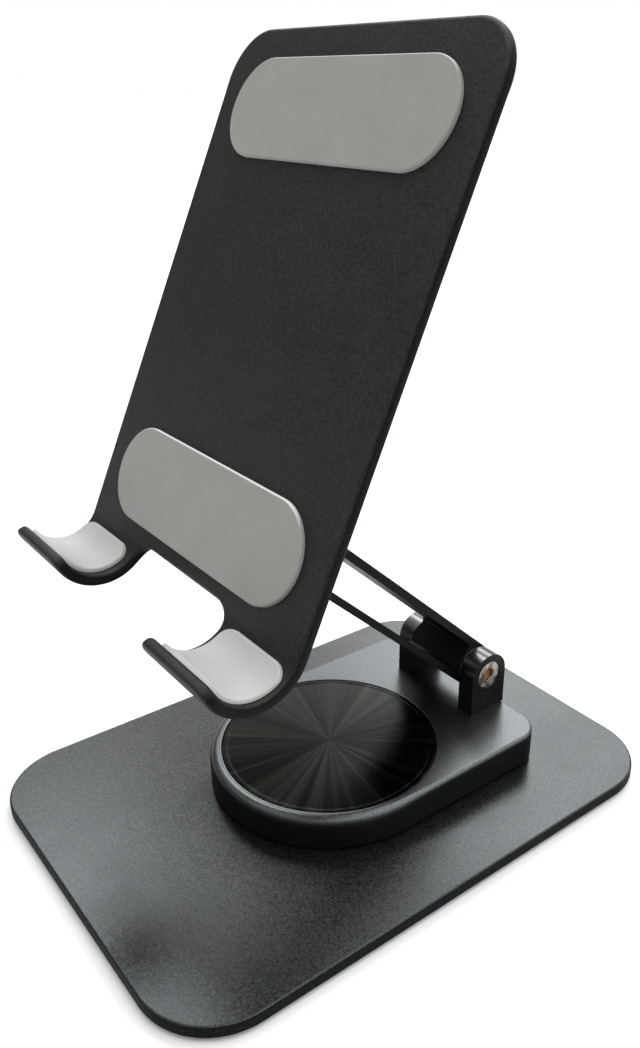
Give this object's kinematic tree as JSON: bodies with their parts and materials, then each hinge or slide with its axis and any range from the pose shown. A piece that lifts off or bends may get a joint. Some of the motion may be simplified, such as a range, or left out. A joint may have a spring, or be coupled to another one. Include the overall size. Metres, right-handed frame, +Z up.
{
  "type": "phone stand",
  "caption": "Folding phone stand: flat base, swivelling turntable with a disc, slotted link arm and a leaning cradle plate with two padded hooks.",
  "frame": {"origin": "where the swivel axis meets the surface the stand rests on, under the middle of the base plate", "axes": "+X to the right as the user faces the phone, +Y towards the back, +Z up along the swivel axis"},
  "size_m": [0.08, 0.112, 0.1398],
  "materials": {
    "base_coat": "fine sand-textured satin black powder coat on steel",
    "plate_coat": "matte black powder coat on steel",
    "table_coat": "satin black paint on die-cast metal",
    "arm_coat": "satin black anodised or painted metal",
    "disc_gloss": "spun, glossy dark metal with radial streaks",
    "silicone_grey": "smooth matte warm grey silicone",
    "silicone_black": "matte black silicone",
    "acetal": "smooth",
    "plated_steel": "zinc plated",
    "copper_screw": "copper-toned plating",
    "bronze": "sintered bronze"
  },
  "bodies": {
    "base": {"base_plate": "base_coat", "antislip_pad": "silicone_black", "glide_ring": "acetal", "swivel_screw": "plated_steel", "spring_washer": "plated_steel", "swivel_nut": "plated_steel"},
    "turntable": {"turntable_housing": "table_coat", "turntable_disc": "disc_gloss", "swivel_bush": "bronze", "lower_lug_left": "arm_coat", "lower_lug_right": "arm_coat", "lower_lug_screws": "plated_steel", "lower_hinge_pin": "plated_steel", "lower_hinge_screws": "copper_screw", "lower_hinge_washers": "plated_steel"},
    "arm": {"arm_link": "arm_coat", "arm_lower_bush": "bronze", "arm_upper_bush": "bronze"},
    "cradle": {"phone_plate": "plate_coat", "upper_pad": "silicone_grey", "lower_pad": "silicone_grey", "left_hook_pad": "silicone_grey", "right_hook_pad": "silicone_grey", "upper_lug_left": "arm_coat", "upper_lug_right": "arm_coat", "upper_lug_screws": "plated_steel", "upper_hinge_pin": "plated_steel", "upper_hinge_screws": "copper_screw", "upper_hinge_washers": "plated_steel"}
  },
  "joints": [
    {"name": "swivel", "type": "hinge", "parent": "base", "child": "turntable", "pos_m": [0, 0, 0.01], "axis": [0, 0, 1], "continuous": true},
    {"name": "lower_hinge", "type": "hinge", "parent": "turntable", "child": "arm", "pos_m": [0, 0.033, 0.01855], "axis": [1, 0, 0], "range_deg": [-50, 30]},
    {"name": "upper_hinge", "type": "hinge", "parent": "arm", "child": "cradle", "pos_m": [0, -0.01742, 0.06492], "axis": [1, 0, 0], "range_deg": [-108, 35]}
  ]
}
